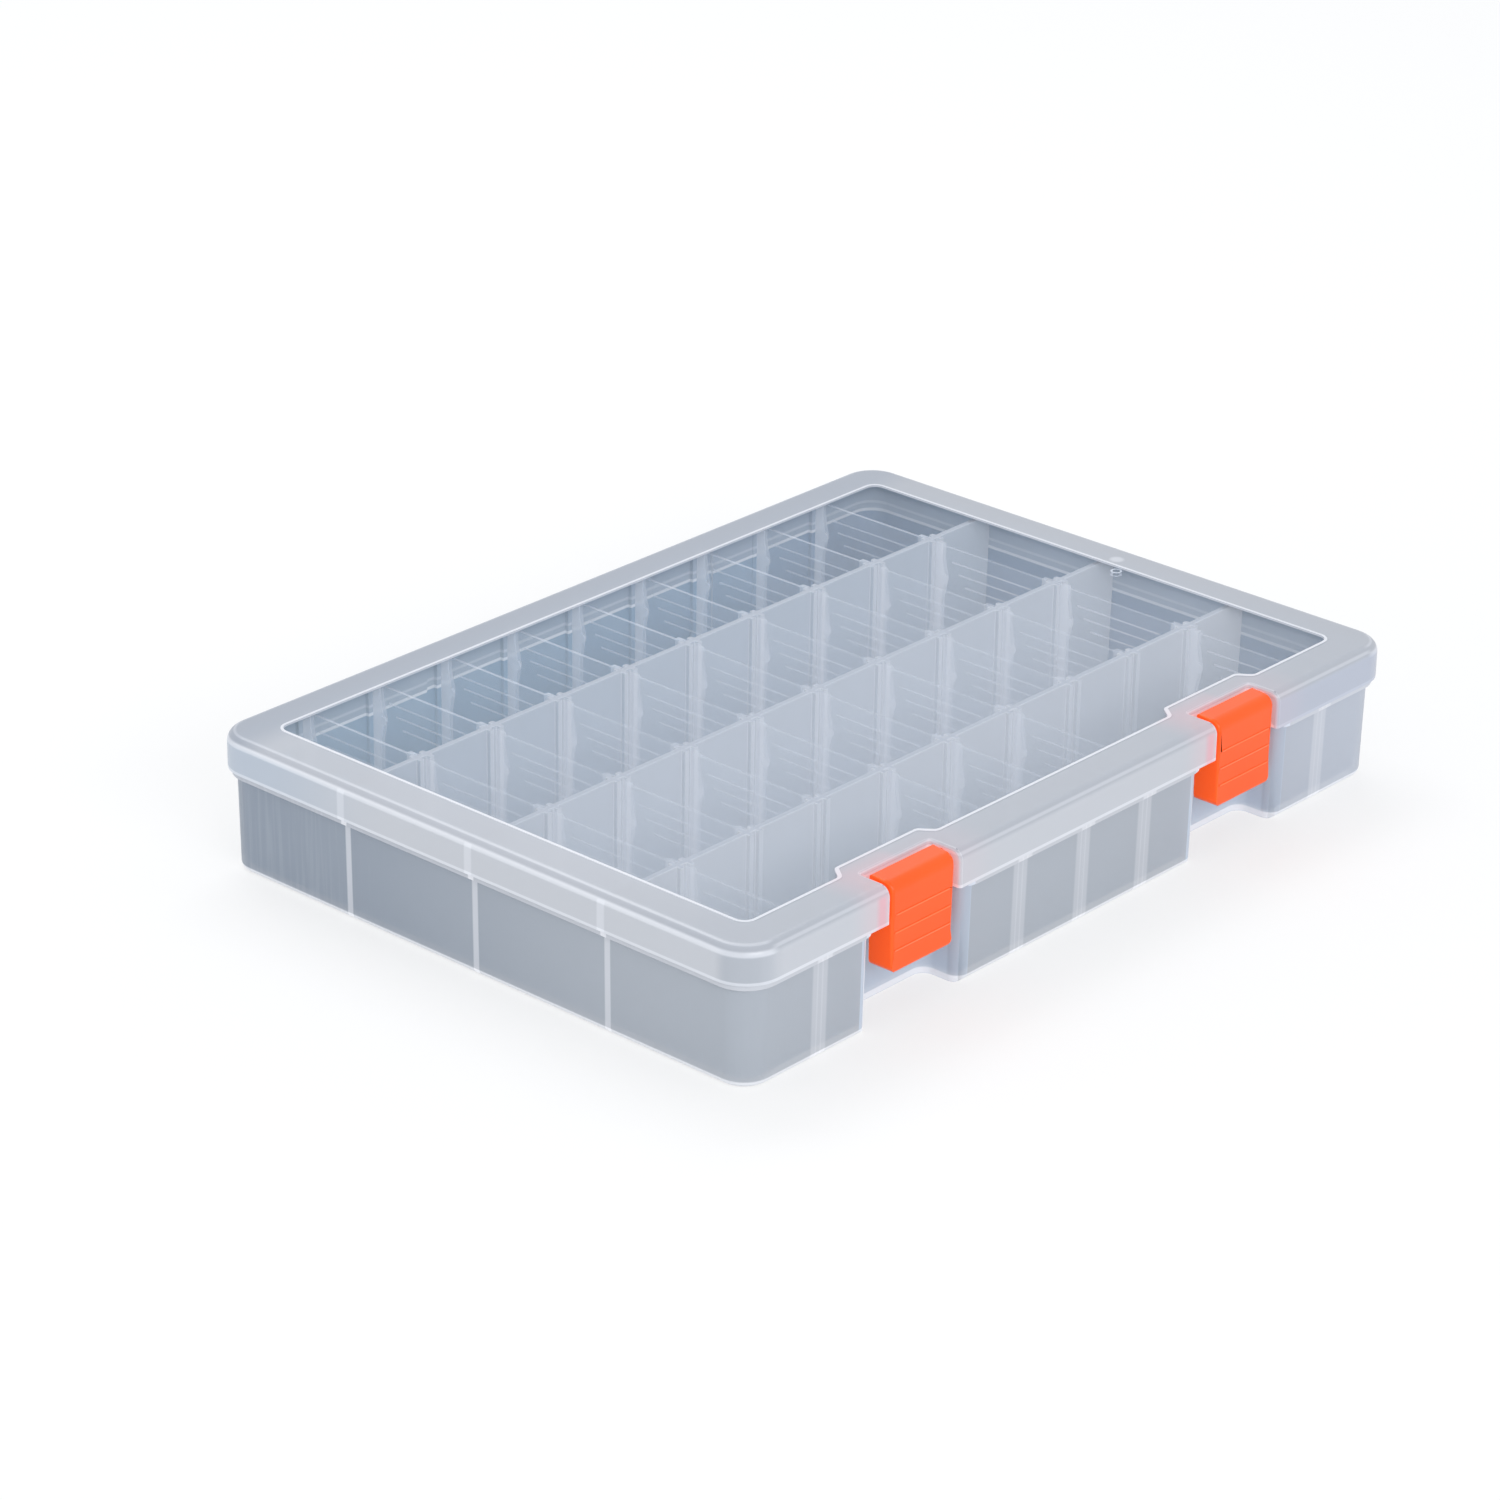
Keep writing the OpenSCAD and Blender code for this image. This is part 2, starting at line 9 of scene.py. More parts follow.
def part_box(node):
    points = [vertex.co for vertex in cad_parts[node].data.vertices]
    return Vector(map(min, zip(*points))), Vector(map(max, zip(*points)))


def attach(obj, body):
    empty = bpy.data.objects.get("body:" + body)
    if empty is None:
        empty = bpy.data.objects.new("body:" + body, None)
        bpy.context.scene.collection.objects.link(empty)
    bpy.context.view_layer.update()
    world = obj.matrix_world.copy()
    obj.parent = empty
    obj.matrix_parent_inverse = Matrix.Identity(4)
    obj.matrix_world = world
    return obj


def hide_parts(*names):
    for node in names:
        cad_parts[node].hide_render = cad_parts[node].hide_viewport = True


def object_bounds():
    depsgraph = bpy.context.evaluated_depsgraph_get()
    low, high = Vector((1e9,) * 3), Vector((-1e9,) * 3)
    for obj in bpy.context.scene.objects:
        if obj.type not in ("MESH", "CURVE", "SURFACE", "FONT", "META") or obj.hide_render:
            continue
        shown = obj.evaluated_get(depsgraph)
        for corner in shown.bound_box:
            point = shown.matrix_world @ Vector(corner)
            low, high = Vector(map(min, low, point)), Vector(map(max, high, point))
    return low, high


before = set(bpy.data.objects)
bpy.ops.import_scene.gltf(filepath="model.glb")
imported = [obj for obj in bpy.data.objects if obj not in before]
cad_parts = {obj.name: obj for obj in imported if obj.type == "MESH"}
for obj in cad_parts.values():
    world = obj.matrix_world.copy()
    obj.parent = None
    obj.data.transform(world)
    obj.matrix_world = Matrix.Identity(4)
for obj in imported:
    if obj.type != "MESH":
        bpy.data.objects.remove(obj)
cad_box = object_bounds()

# Every piece here is thin see-through plastic, so one line of sight passes dozens of skins.
bpy.context.scene.cycles.transparent_max_bounces = 96

MM = 0.001

# Viewpoint
# The photograph was taken with a long lens from the box's front left corner, 1.28 m away,
# looking down on it by 25 degrees with the camera turned a hair clockwise.
camera_place = Vector((-881.48, -759.92, 555.80)) * MM
heading, look_down, camera_roll = (math.radians(a) for a in (48.42, 24.78, -0.90))
focal_px, photo_px, sensor_mm = 4998.5, 1500, 36

ahead = Vector((math.sin(heading) * math.cos(look_down),
                math.cos(heading) * math.cos(look_down), -math.sin(look_down)))
level = Vector((math.cos(heading), -math.sin(heading), 0))
down = ahead.cross(level)
right = level * math.cos(camera_roll) + down * math.sin(camera_roll)
lens = bpy.data.cameras.new("viewpoint")
lens.sensor_width = sensor_mm
lens.lens = sensor_mm * focal_px / photo_px
camera = bpy.data.objects.new("viewpoint", lens)
camera.matrix_world = Matrix.Translation(camera_place) @ Matrix(
    (right, right.cross(ahead), -ahead)).transposed().to_4x4()
bpy.context.scene.collection.objects.link(camera)
bpy.context.scene.camera = camera


# Tray
# One shallow moulding in milky polypropylene: walls, floor, latch bays, slot ribs and ledge
# in one shot. Where its plastic is seen edge on, its skin is painted whiter for the light it
# scatters.

def solid_form(*names):
    """The named solids from the frame as one clean mesh with whole faces."""
    form = bmesh.new()
    for name in names:
        form.from_mesh(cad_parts[name].data)
    bmesh.ops.remove_doubles(form, verts=form.verts, dist=0.002 * MM)
    bmesh.ops.dissolve_limit(form, angle_limit=0.002, verts=form.verts, edges=form.edges)
    return form


def soften_edges(piece, width_mm, narrowest_mm=0, segments=2, chosen=None):
    """Breaks the sharp edges of a moulding: the chosen ones, or all but those too fine for it."""
    shape = bmesh.new()
    shape.from_mesh(piece.data)
    weight = shape.edges.layers.float.new("bevel_weight_edge")
    fine = {edge for edge in shape.edges if edge.calc_length() < narrowest_mm * MM
            and len(edge.link_faces) == 2 and edge.calc_face_angle() > 0.5}
    crowded = {vert for edge in fine for vert in edge.verts}
    for edge in shape.edges:
        sharp = len(edge.link_faces) == 2 and edge.calc_face_angle() > 0.5
        roomy = edge not in fine and not crowded.intersection(edge.verts)
        if sharp and (chosen(edge) if chosen else roomy):
            edge[weight] = 1.0
    shape.to_mesh(piece.data)
    shape.free()
    piece.data.shade_smooth()
    piece.data.set_sharp_from_angle(angle=math.radians(32))
    rounding = piece.modifiers.new("edges", "BEVEL")
    rounding.limit_method = "WEIGHT"
    rounding.width = width_mm * MM
    rounding.segments = segments
    rounding.use_clamp_overlap = chosen is None
    flat = piece.modifiers.new("flat_faces", "WEIGHTED_NORMAL")
    flat.keep_sharp = True
    flat.weight = 100
    bake(piece)
    straighten_shading(piece.data)


def straighten_shading(mesh, most_turned=0.6):
    """Gives a corner its face's own direction where a large neighbour turned it far away."""
    normals = [corner.vector.copy() for corner in mesh.corner_normals]
    for face in mesh.polygons:
        for corner in face.loop_indices:
            if normals[corner].dot(face.normal) < most_turned:
                normals[corner] = face.normal.copy()
    mesh.normals_split_custom_set(normals)


def bake(piece):
    """Turns a piece and its modifiers into a plain mesh."""
    graph = bpy.context.evaluated_depsgraph_get()
    mesh = bpy.data.meshes.new_from_object(piece.evaluated_get(graph))
    mesh.name = piece.name
    piece.modifiers.clear()
    piece.data = mesh


def measure_depth(piece):
    """Stores on each face, in mm, how much plastic lies straight behind it."""
    shape = bmesh.new()
    shape.from_mesh(piece.data)
    shape.normal_update()
    tree = BVHTree.FromBMesh(shape)
    depths = []
    for face in shape.faces:
        corners = [v.co for v in face.verts]
        every_few = max(1, len(corners) // 4)
        middle = face.calc_center_median()
        spots = [middle] + [middle.lerp(corner, 0.7) for corner in corners[::every_few]]
        found = []
        for spot in spots:
            hit = tree.ray_cast(spot - face.normal * 0.01 * MM, -face.normal)
            if hit[0] is not None:
                found.append(hit[3] / MM)
        depths.append(sorted(found)[len(found) // 2] if found else 0.0)
    shape.free()
    layer = piece.data.attributes.new("depth", "FLOAT", "FACE")
    layer.data.foreach_set("value", depths)


def new_piece(name, form, body, slot, *nodes):
    """A visible piece that rides a body and takes the place of the nodes."""
    mesh = bpy.data.meshes.new(name)
    form.to_mesh(mesh)
    form.free()
    piece = bpy.data.objects.new(name, mesh)
    bpy.context.scene.collection.objects.link(piece)
    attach(piece, body)
    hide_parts(*nodes)
    return piece


class Shade:
    """A number that varies over a surface. Arithmetic on it adds Math nodes."""

    def __init__(self, finish, socket):
        self.finish, self.socket = finish, socket

    def math(self, operation, *others):
        node = self.finish.node("ShaderNodeMath", {"operation": operation},
                                dict(enumerate((self,) + others)))
        return Shade(self.finish, node.outputs[0])

    def flipped(self, operation, other):
        node = self.finish.node("ShaderNodeMath", {"operation": operation}, {0: other, 1: self})
        return Shade(self.finish, node.outputs[0])

    def __add__(self, other):
        return self.math("ADD", other)

    def __sub__(self, other):
        return self.math("SUBTRACT", other)

    def __mul__(self, other):
        return self.math("MULTIPLY", other)

    def __rsub__(self, other):
        return self.flipped("SUBTRACT", other)

    def __abs__(self):
        return self.math("ABSOLUTE")

    __radd__, __rmul__ = __add__, __mul__


class Finish:
    """A material under construction: its node tree, its position fields and its shader."""

    def __init__(self, name):
        self.material = bpy.data.materials.new(name)
        self.material.use_nodes = True
        self.tree = self.material.node_tree
        self.shader = self.tree.nodes["Principled BSDF"]
        place = self.node("ShaderNodeTexCoord").outputs["Object"]
        self.place = place
        axes = self.node("ShaderNodeSeparateXYZ", {}, {0: place}).outputs
        self.x, self.y, self.z = (Shade(self, axis) * (1 / MM) for axis in axes)

    def node(self, kind, settings=None, sockets=None):
        node = self.tree.nodes.new(kind)
        for key, value in (settings or {}).items():
            setattr(node, key, value)
        for key, value in (sockets or {}).items():
            self.feed(node.inputs[key], value)
        return node

    def feed(self, socket, value):
        if isinstance(value, Shade):
            value = value.socket
        if isinstance(value, bpy.types.NodeSocket):
            self.tree.links.new(value, socket)
        else:
            socket.default_value = value

    def layer(self, name):
        """A number that the mesh carries on its faces."""
        node = self.node("ShaderNodeAttribute", {"attribute_name": name})
        return Shade(self, node.outputs["Fac"])

    def step(self, value, start, end):
        """0 before start, 1 after end, smooth between. Start may be the larger one."""
        node = self.node("ShaderNodeMapRange", {"interpolation_type": "SMOOTHSTEP"},
                         {0: value, 1: start, 2: end})
        return Shade(self, node.outputs[0])

    def band(self, value, middle, half, blur):
        """1 within half of the middle, fading to 0 over blur on both sides."""
        return self.step(abs(value - middle), half + blur, half)

    def noise(self, scale, detail=3, stretch=(1, 1, 1)):
        """Noise from 0 to 1 with about scale features per metre."""
        spread = self.node("ShaderNodeMapping", {}, {0: self.place, 3: stretch})
        node = self.node("ShaderNodeTexNoise", {}, {0: spread.outputs[0], 2: scale, 3: detail})
        return Shade(self, node.outputs[0])

    def blend(self, share, low, high):
        node = self.node("ShaderNodeMix", {"data_type": "RGBA"}, {0: share, 6: low, 7: high})
        return node.outputs[2]

    def bump(self, height, strength, distance):
        node = self.node("ShaderNodeBump", {}, {0: strength, 1: distance, "Height": height})
        return node.outputs[0]

    def set(self, **sockets):
        for key, value in sockets.items():
            self.feed(self.shader.inputs[key.replace("_", " ")], value)


def colour(red, green, blue):
    """A shader colour from the 0 to 255 values that a screen shows."""
    linear = [(v / 255 / 12.92 if v < 10.4 else ((v / 255 + 0.055) / 1.055) ** 2.4)
              for v in (red, green, blue)]
    return (*linear, 1.0)


wall_lines = [sum(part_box("row_wall_" + name)[i].y for i in (0, 1)) / 2 / MM
              for name in ("front", "middle", "rear")]
slot_pitch = (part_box("divider_d2")[0].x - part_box("divider_d1")[0].x) / MM
latch_x = (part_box("latch_right")[0].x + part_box("latch_right")[1].x) / 2 / MM

# Places in mm: the centres of the tray's round corners, of the round corners at a latch bay's
# back and mouth (counted from the latch's middle), and the heights of two painted bright lines,
# at the ledge and at the foot of the lid's skirt.
corner_x, corner_y = 115.75, 80.15
bay_back_x, bay_back_y = 13, -80.27
bay_mouth_x, bay_mouth_y = 20, -84.47
bay_side = 18
ledge_z = 26.8
skirt_line_z = 29.1

tray = new_piece("tray_moulding", solid_form("tray"), "tray", "tray_plastic", "tray")
soften_edges(tray, 0.25, 0.8)
measure_depth(tray)

milky = Finish("tray_milky_plastic")
depth = milky.layer("depth")
from_latch = abs(abs(milky.x) - latch_x)


def corner_reach(across, along):
    """Distance from a round corner's centre, with the straight sides beside it level."""
    across, along = across.math("MAXIMUM", 0), along.math("MAXIMUM", 0)
    return (across * across + along * along).math("SQRT")


# Where a point lies: on a latch bay's skin, inside the box, on its floor or outside
bay_back = milky.step(corner_reach(from_latch - bay_back_x, milky.y - bay_back_y), 4.5, 4.1)
bay_mouth = (milky.step(corner_reach(bay_mouth_x - from_latch, bay_mouth_y - milky.y), 2.5, 2.9)
             * milky.step(from_latch, bay_mouth_x + 0.1, bay_mouth_x - 0.1)
             * milky.step(milky.y, -84.2, -84.6))
in_bay = bay_back.math("MAXIMUM", bay_mouth)
reach = corner_reach(abs(milky.x) - corner_x, abs(milky.y) - corner_y)
inside = milky.step(reach, 7.0, 6.6) * milky.step(milky.z, 0.6, 1.0) * (1 - in_bay)
on_floor = milky.step(milky.z, 2.8, 2.0) * inside
outside = 1 - inside

# Where the skin is painted whiter: edge on, for the light the plastic scatters; over the long
# walls' ends and over the slots; in a painted highlight along the base and at the bays' mouths; and
# in fine painted bright lines where the ledge and the lid's skirt meet the wall. Mould streaks add
# a little.
glow = milky.step(depth, 2.0, 7.0)
end_stripe = 0
for line in wall_lines:
    end_stripe = milky.band(milky.y, line, 0.7, 0.45) + end_stripe
end_stripe = end_stripe * milky.step(abs(milky.x), 122.3, 122.7)
slot_place = milky.x * (1 / slot_pitch)
off_slot = abs(slot_place - slot_place.math("ROUND")) * slot_pitch
slot_stripe = milky.step(off_slot, 3.0, 2.2) * 0.7 + milky.band(off_slot, 0.85, 0.15, 0.2) * 0.3
slot_stripe = (slot_stripe * milky.step(abs(milky.y), 86.7, 87.1)
               * milky.step(abs(milky.x), 112, 110) * milky.step(from_latch, 19.5, 20.5))
base_band = milky.band(milky.z, 0.9, 0.6, 0.5) * outside
ledge_face = milky.band(milky.z, 27.1, 0.7, 0.2) * milky.step(reach, 8.2, 8.5)
latch_side = milky.x - milky.step(milky.x, -1, 1) * (2 * latch_x) + latch_x
mouth = (milky.band(latch_side, bay_side, 1.6, 0.6) * milky.step(milky.y, -83.5, -84.5)
         * milky.step(milky.y, -88.9, -88.3))
mouth_edge = (milky.band(latch_side, -bay_side - 0.1, 0.35, 0.4)
              * milky.step(milky.y, -84.5, -85.5))
ledge_line = milky.band(milky.z, ledge_z, 0.3, 0.25) * inside
skirt_line = milky.band(milky.z, skirt_line_z, 0.25, 0.3) * inside
behind_lid = milky.step(milky.z, ledge_z, ledge_z + 0.4) * inside
clouds = milky.noise(30, 2)
streaks = milky.noise(900, 2, (1, 1, 0.03))
streaky = milky.step(streaks, 0.4, 0.8) * milky.step(milky.y, 30, 60) * outside
white = (glow * 0.6 + end_stripe * 0.55 + slot_stripe * 0.42 + base_band * 0.6 + mouth_edge * 0.5
         + streaky * 0.09 + ledge_face * 0.4
         + ledge_line * 0.9 + skirt_line * 0.35).math("MINIMUM", 1.0)

# The skin's colour, lighter towards the right end, with painted shade and light: darker
# towards the rear, lighter in the latch bays and darker at their mouths. The inside is painted
# a shaded blue, lighter above the ledge and on the floor. A painted glow in place of
# scattering lights the bays, the inside and the base.
rear = milky.step(milky.y, -70, 85)
far_right = milky.step(milky.x, 20, 110)
shell = milky.blend(rear, colour(170, 175, 183), colour(139, 148, 161))
shell = milky.blend(far_right * 0.8, shell, colour(188, 194, 206))
shell = milky.blend(in_bay * 0.8, shell, colour(176, 186, 200))
shell = milky.blend(mouth * 0.5, shell, colour(165, 173, 187))
inner_shade = milky.blend(milky.step(milky.x, 60, 110), colour(124, 154, 181), colour(112, 137, 167))
inner_shade = milky.blend(behind_lid, inner_shade, colour(156, 169, 187))
inner_shade = milky.blend(on_floor, inner_shade, colour(184, 194, 208))
inner_light = milky.blend(milky.step(milky.x, -60, 80),
                          (0.060, 0.085, 0.090, 1), (0.034, 0.048, 0.055, 1))
painted_glow = milky.blend(in_bay * (1 - mouth * 0.6), (0, 0, 0, 1), (0.10, 0.12, 0.145, 1))
painted_glow = milky.blend(inside * 0.9, painted_glow, inner_light)
painted_glow = milky.blend((base_band + mouth_edge) * 0.8, painted_glow, (0.24, 0.24, 0.24, 1))
wall = milky.blend(inside, shell, inner_shade)
wall = milky.blend(white, wall, colour(222, 223, 228))
milky.set(Base_Color=wall, Roughness=0.36 + clouds * 0.08, IOR=1.5,
          Alpha=0.86 + white * 0.12,
          Emission_Color=painted_glow, Emission_Strength=1,
          Normal=milky.bump(streaks + clouds, 0.25, 0.05 * MM))
tray.data.materials.clear()
tray.data.materials.append(milky.material)

# Long walls
# Three walls of the tray's own plastic, 1.7 mm thick, with a pair of ribs on each face at
# every slot. Their frosted faces hide what stands behind them.
cloudy = Finish("long_wall_milky_plastic")
depth = cloudy.layer("depth")
edge = cloudy.step(depth, 5.0, 8.0)
rib = cloudy.step(depth, 1.9, 3.0) * (1 - edge)
haze = cloudy.noise(25, 2)
to_rear = cloudy.step(cloudy.y, -60, 60)
# Painted shade: darker towards the rear and on the top edges. A painted glow, brighter on the ribs
# and dimmer on the top edges, fades towards the rear.
tint = cloudy.blend(to_rear, colour(190, 194, 201), colour(170, 178, 189))
tint = cloudy.blend(edge, tint, colour(166, 173, 184))
painted_glow = cloudy.blend(to_rear, (0.135, 0.137, 0.142, 1), (0.10, 0.115, 0.13, 1))
painted_glow = cloudy.blend(rib, painted_glow, (0.17, 0.172, 0.178, 1))
painted_glow = cloudy.blend(edge, painted_glow, (0.06, 0.06, 0.065, 1))
cloudy.set(Base_Color=tint, Roughness=0.5 + haze * 0.06, IOR=1.5, Specular_IOR_Level=0.3,
           Alpha=0.8 + rib * 0.1 + edge * 0.1, Emission_Color=painted_glow, Emission_Strength=1)
for name in ("front", "middle", "rear"):
    node = "row_wall_" + name
    long_wall = new_piece("long_wall_" + name, solid_form(node), "tray", "tray_plastic", node)
    soften_edges(long_wall, 0.2, 0.8)
    measure_depth(long_wall)
    long_wall.data.materials.clear()
    long_wall.data.materials.append(cloudy.material)

# Dividers
# Thirty-two clear lift-out plates, 1 mm thick with thicker end bands and three grip lines.
# One is dressed and set at every place. Each has a little play, so no two lean alike.
pattern_node = "divider_d2"
divider_nodes = [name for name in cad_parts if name.startswith("divider_")]
low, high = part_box(pattern_node)
pattern_middle = (low + high) / 2
most_lean = math.radians(0.25)

clear = Finish("divider_clear_plastic")
depth = clear.layer("depth")
edge = clear.step(depth, 2.2, 6.0)
thick = clear.step(depth, 1.1, 1.2) * (1 - edge)
in_rear_row = clear.step(clear.y, 42, 47)
at_right_end = clear.step(clear.x, 70, 95)
# Painted highlight on the plates' edges, whiter in the rear row, and a painted glow, strongest in
# the thick bands of the front rows.
tint = clear.blend(in_rear_row, colour(180, 188, 200), colour(176, 188, 203))
bright = clear.blend(in_rear_row, colour(190, 196, 207), colour(222, 228, 238))
tint = clear.blend(edge, tint, bright)
band_light = clear.blend(in_rear_row, (0.30, 0.30, 0.31, 1), (0.24, 0.25, 0.265, 1))
painted_glow = clear.blend(thick, (0.14, 0.152, 0.165, 1), band_light)
painted_glow = clear.blend(edge, painted_glow, (0.12, 0.122, 0.125, 1))
clear.set(Base_Color=tint, Roughness=0.32, IOR=1.5,
          Alpha=(0.09 + thick * (0.24 + in_rear_row.math("MAXIMUM", at_right_end) * 0.1)
                 + edge * (0.12 + in_rear_row * 0.12)),
          Emission_Color=painted_glow, Emission_Strength=1)

form = solid_form(pattern_node)
bmesh.ops.translate(form, verts=form.verts, vec=-pattern_middle)
pattern_mesh = bpy.data.meshes.new("divider_pattern")
form.to_mesh(pattern_mesh)
form.free()
pattern = bpy.data.objects.new("divider_pattern", pattern_mesh)
bpy.context.scene.collection.objects.link(pattern)
soften_edges(pattern, 0.15, 0.8)
measure_depth(pattern)

places = bpy.data.meshes.new("divider_places")
places.from_pydata([(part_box(name)[0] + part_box(name)[1]) / 2 for name in divider_nodes], [], [])
dividers = bpy.data.objects.new("dividers", places)
bpy.context.scene.collection.objects.link(dividers)

rack = bpy.data.node_groups.new("divider_rack", "GeometryNodeTree")
rack.interface.new_socket("Geometry", in_out="OUTPUT", socket_type="NodeSocketGeometry")
rack.interface.new_socket("Places", in_out="INPUT", socket_type="NodeSocketGeometry")
plate_input = rack.interface.new_socket("Plate", in_out="INPUT", socket_type="NodeSocketObject")
lean_input = rack.interface.new_socket("Lean", in_out="INPUT", socket_type="NodeSocketFloat")
finish_input = rack.interface.new_socket("Finish", in_out="INPUT", socket_type="NodeSocketMaterial")
entry = rack.nodes.new("NodeGroupInput")
leave = rack.nodes.new("NodeGroupOutput")
plate = rack.nodes.new("GeometryNodeObjectInfo")
rack.links.new(entry.outputs["Plate"], plate.inputs["Object"])
lean = rack.nodes.new("FunctionNodeRandomValue")
lean.data_type = "FLOAT"
lean.inputs["Seed"].default_value = 11
less = rack.nodes.new("ShaderNodeMath")
less.operation = "MULTIPLY"
less.inputs[1].default_value = -1
rack.links.new(entry.outputs["Lean"], less.inputs[0])
rack.links.new(less.outputs[0], lean.inputs[2])
rack.links.new(entry.outputs["Lean"], lean.inputs[3])
turn = rack.nodes.new("ShaderNodeCombineXYZ")
rack.links.new(lean.outputs[1], turn.inputs[1])
stand = rack.nodes.new("GeometryNodeInstanceOnPoints")
rack.links.new(entry.outputs["Places"], stand.inputs["Points"])
rack.links.new(plate.outputs["Geometry"], stand.inputs["Instance"])
rack.links.new(turn.outputs[0], stand.inputs["Rotation"])
real = rack.nodes.new("GeometryNodeRealizeInstances")
rack.links.new(stand.outputs[0], real.inputs[0])
coat = rack.nodes.new("GeometryNodeSetMaterial")
rack.links.new(real.outputs[0], coat.inputs["Geometry"])
rack.links.new(entry.outputs["Finish"], coat.inputs["Material"])
rack.links.new(coat.outputs[0], leave.inputs[0])

filling = dividers.modifiers.new("rack", "NODES")
filling.node_group = rack
filling[plate_input.identifier] = pattern
filling[lean_input.identifier] = most_lean
filling[finish_input.identifier] = clear.material
bake(dividers)
bpy.data.objects.remove(pattern)
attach(dividers, "tray")
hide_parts(*divider_nodes)

# Lid
# One moulding with a polished pane let into a satin rim. A fine bead runs round the pane,
# the skirt hangs outside the tray, and a glow of the latches' orange is painted on it.
lid = new_piece("lid_moulding", solid_form("lid"), "lid", "lid_plastic", "lid")
soften_edges(lid, 0.35, 0.9)
measure_depth(lid)

rim_top = cad_box[1].z / MM - 0.15
notch_half = 12.75
rim_mark_x, rim_mark_y = 117.5, -5
pane_mark_x, pane_mark_y = 111.9, -9.2

# Where a point lies: near a latch, on the skirt's front face or in a latch's notch
satin = Finish("lid_satin_plastic")
depth = satin.layer("depth")
past_notch = abs(abs(satin.x) - latch_x) - notch_half
latch_side = satin.x - satin.step(satin.x, -1, 1) * (2 * latch_x) + latch_x
to_notch = satin.step(satin.y, -72, -80)
left_of_latch = satin.step(latch_side, 2, -2)
near_latch = satin.step(past_notch, 15, 2) * to_notch * (left_of_latch * 0.7 + 0.3)
on_face = satin.step(satin.y, -88.5, -89.8) * satin.step(satin.z, 36.8, 35.2)
pink_band = (satin.step(past_notch, 0.6, 2.4) * satin.step(past_notch, 5.6, 3.4)
             * on_face * left_of_latch)
in_notch = satin.step(past_notch, 0.3, 0.1) * satin.step(satin.y, -79.7, -80.2)

# Where the plastic is painted whiter: edge on, for the light it scatters; in painted highlights
# on the bead round the pane, along the rim's outer fillet and at its foot; in one round moulding
# mark; and over the long walls' ends, which show through the skirt.
glow = satin.step(depth, 2.2, 8.0)
bead = satin.step(satin.z, rim_top + 0.02, rim_top + 0.1)
front_side = satin.step(abs(satin.x), 118, 114.5) * satin.step(satin.y, -81, -84)
shoulder_highlight = (satin.band(satin.z, rim_top - 1.95, 0.3, 0.6) * (1 - front_side)
            + satin.band(satin.z, rim_top - 1.1, 0.15, 0.35) * front_side * 0.6)
crest_highlight = satin.band(satin.z, rim_top - 0.22, 0.05, 0.15) * (1 - front_side)
hem = satin.band(satin.z, 28.45, 0.35, 0.25)
spot_x = satin.x - rim_mark_x
spot_y = satin.y - rim_mark_y
spot = satin.step(spot_x * spot_x + spot_y * spot_y, 6, 0.5)
lower = satin.step(satin.z, rim_top - 1.2, rim_top - 2.6)
seen_through = 0
for line in wall_lines:
    seen_through = satin.band(satin.y, line, 0.9, 0.6) + seen_through
seen_through = seen_through * satin.step(abs(satin.x), 123.4, 124.2) * lower
whiter = (glow * 0.4 + bead * 0.75 + shoulder_highlight * 0.5 + crest_highlight * 0.25 + hem * 0.5
          + spot * 0.4 + seen_through * 0.3).math("MINIMUM", 1.0)

# Rim and skirt, with painted light and shade: the skirt lighter than the rim, less so at the
# front and not at the front left corner, the rear of the skirt bluer and the rear rim darker,
# the latches' glow painted pink beside them, most on their left, and a painted glow on the
# left rim, the front face and in the notches. The front face right of the right latch is bluer.
grain = satin.noise(2500, 1)
haze = satin.noise(20, 2)
at_corner = satin.step(satin.x, -113, -119) * satin.step(satin.y, -79, -83)
on_rear_rim = satin.step(satin.y, 70, 82) * (1 - lower)
tint = satin.blend(haze, colour(171, 175, 183), colour(176, 180, 188))
tint = satin.blend(lower, tint, colour(175, 180, 188))
tint = satin.blend(lower * (1 - at_corner) * (0.6 - front_side * 0.2), tint, colour(208, 210, 215))
tint = satin.blend(satin.step(satin.y, 25, 75) * lower * 0.5, tint, colour(168, 184, 202))
tint = satin.blend(on_rear_rim * 0.75, tint, colour(158, 165, 177))
tint = satin.blend(whiter, tint, colour(228, 230, 236))
tint = satin.blend(on_face * satin.step(satin.x, 66, 78) * 0.7, tint, colour(168, 176, 194))
tint = satin.blend(near_latch * 0.26, tint, colour(240, 182, 188))
tint = satin.blend(pink_band * 0.38, tint, colour(236, 130, 145))
left_rim = (satin.step(satin.y, -80, -35) * satin.step(satin.x, 90, -20)
            * satin.step(satin.y, 82, 70) * (1 - lower))
lift = satin.blend(left_rim, (0, 0, 0, 1), (0.045, 0.042, 0.04, 1))
lift = satin.blend(on_face, lift, (0.03, 0.03, 0.032, 1))
notch_light = satin.blend(satin.step(satin.z, 37.2, 36.6),
                          (0.15, 0.12, 0.13, 1), (0.36, 0.28, 0.30, 1))
notch_light = satin.blend(satin.step(satin.y, -80.8, -81.6), notch_light, (0.13, 0.095, 0.105, 1))
satin.set(Base_Color=tint, Roughness=0.28 + grain * 0.08, IOR=1.5,
          Alpha=(0.9 + whiter * 0.1).math("MINIMUM", 1.0),
          Emission_Color=satin.blend(in_notch, lift, notch_light), Emission_Strength=1,
          Normal=satin.bump(grain, 0.15, 0.03 * MM))

